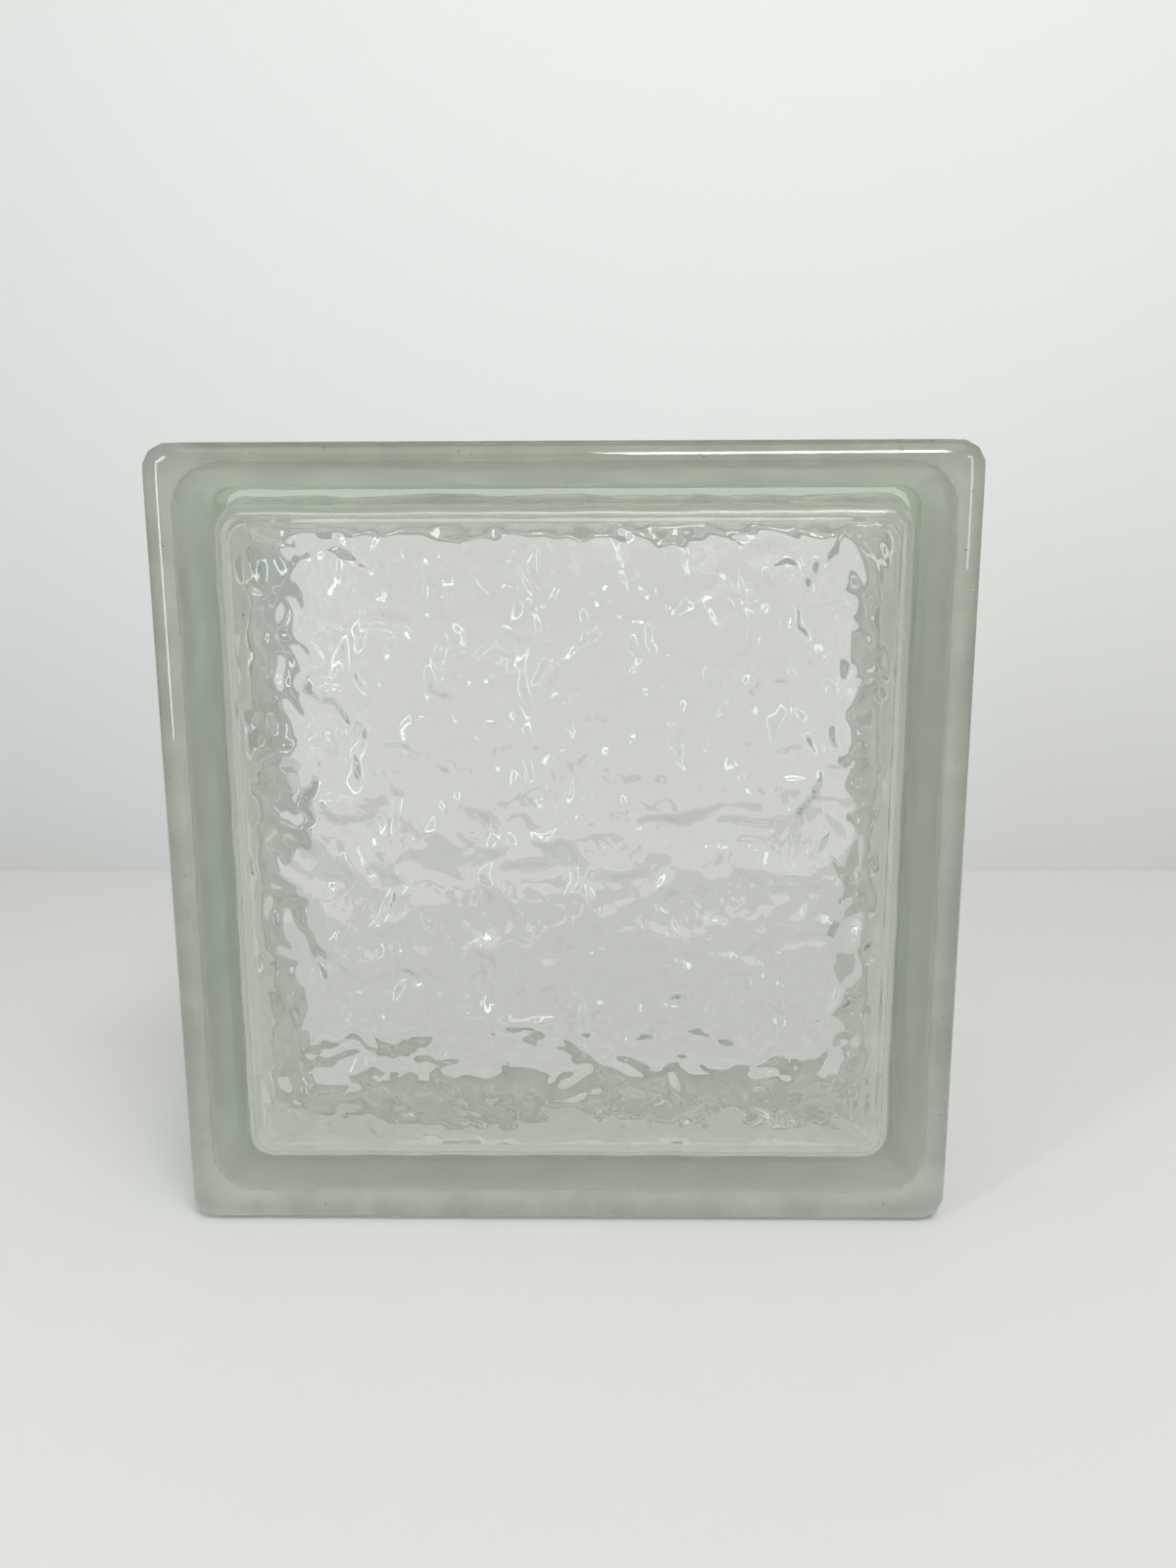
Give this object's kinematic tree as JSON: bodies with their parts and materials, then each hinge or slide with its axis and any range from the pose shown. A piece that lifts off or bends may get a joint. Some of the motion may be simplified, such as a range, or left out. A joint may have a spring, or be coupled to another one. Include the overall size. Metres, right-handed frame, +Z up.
{
  "type": "glass block",
  "caption": "Square hollow glass block with a rippled see-through window and a mortar groove round its edges, for walls that let light in.",
  "frame": {"origin": "middle of the bottom edge that the block stands on, half-way through its depth", "axes": "+X along the width, +Y through the depth from the front face to the back face, +Z up"},
  "size_m": [0.19, 0.08, 0.19],
  "materials": {
    "glass": "gloss"
  },
  "bodies": {
    "root": {"front_half": "glass", "back_half": "glass"}
  },
  "joints": []
}
